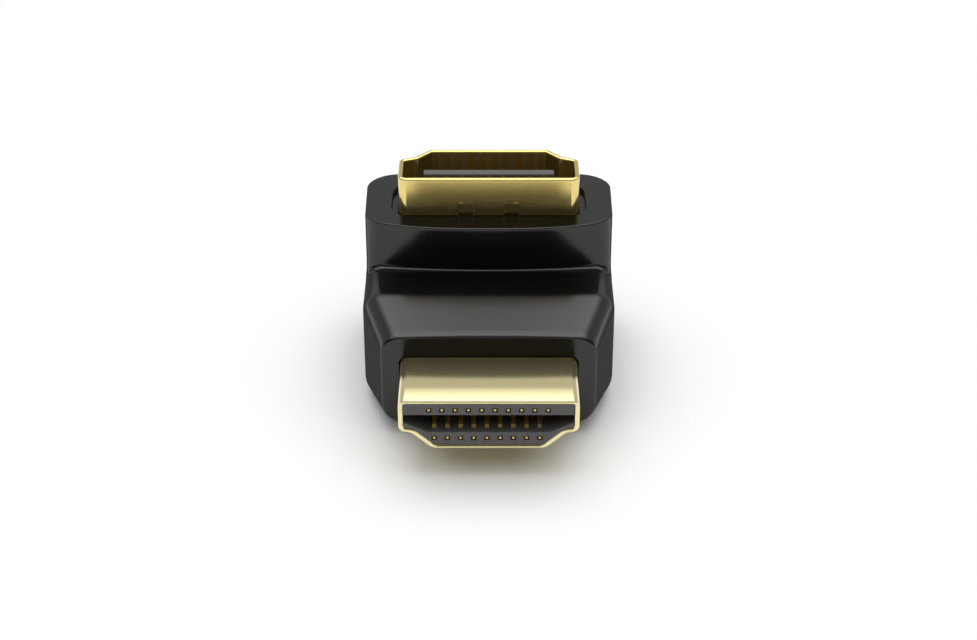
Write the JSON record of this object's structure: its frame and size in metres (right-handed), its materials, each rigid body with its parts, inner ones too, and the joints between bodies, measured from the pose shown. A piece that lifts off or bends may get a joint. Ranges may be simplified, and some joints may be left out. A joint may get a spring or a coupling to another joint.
{
  "type": "right angle hdmi adapter",
  "caption": "Right-angle HDMI adapter: an L-shaped moulded body with a plug looking forward at the end of its arm and a socket looking up from its block.",
  "frame": {"origin": "centre of the bounding box's underside, on the surface that the adapter stands on", "axes": "-Y the way the plug looks, +Z the way the socket looks, +X across, to the right as seen from the plug's front"},
  "size_m": [0.0204, 0.0256, 0.0167],
  "materials": {
    "moulded_black": "black moulded plastic with a fine satin texture",
    "shell_gold": "bright gold plating on stamped sheet",
    "contact_gold": "bright gold plating",
    "plug_plastic": "dark grey moulded plastic",
    "socket_plastic": "grey moulded plastic",
    "board_laminate": "green lacquered glass-fibre laminate"
  },
  "bodies": {
    "root": {"overmould_body": "moulded_black", "circuit_board": "board_laminate", "plug_shell": "shell_gold", "plug_insulator": "plug_plastic", "socket_shell": "shell_gold", "socket_insulator": "socket_plastic", "plug_contact_upper_01": "contact_gold", "plug_contact_upper_02": "contact_gold", "plug_contact_upper_03": "contact_gold", "plug_contact_upper_04": "contact_gold", "plug_contact_upper_05": "contact_gold", "plug_contact_upper_06": "contact_gold", "plug_contact_upper_07": "contact_gold", "plug_contact_upper_08": "contact_gold", "plug_contact_upper_09": "contact_gold", "plug_contact_upper_10": "contact_gold", "plug_contact_lower_01": "contact_gold", "plug_contact_lower_02": "contact_gold", "plug_contact_lower_03": "contact_gold", "plug_contact_lower_04": "contact_gold", "plug_contact_lower_05": "contact_gold", "plug_contact_lower_06": "contact_gold", "plug_contact_lower_07": "contact_gold", "plug_contact_lower_08": "contact_gold", "plug_contact_lower_09": "contact_gold", "socket_contact_front_01": "contact_gold", "socket_contact_front_02": "contact_gold", "socket_contact_front_03": "contact_gold", "socket_contact_front_04": "contact_gold", "socket_contact_front_05": "contact_gold", "socket_contact_front_06": "contact_gold", "socket_contact_front_07": "contact_gold", "socket_contact_front_08": "contact_gold", "socket_contact_front_09": "contact_gold", "socket_contact_back_01": "contact_gold", "socket_contact_back_02": "contact_gold", "socket_contact_back_03": "contact_gold", "socket_contact_back_04": "contact_gold", "socket_contact_back_05": "contact_gold", "socket_contact_back_06": "contact_gold", "socket_contact_back_07": "contact_gold", "socket_contact_back_08": "contact_gold", "socket_contact_back_09": "contact_gold", "socket_contact_back_10": "contact_gold"}
  },
  "joints": []
}
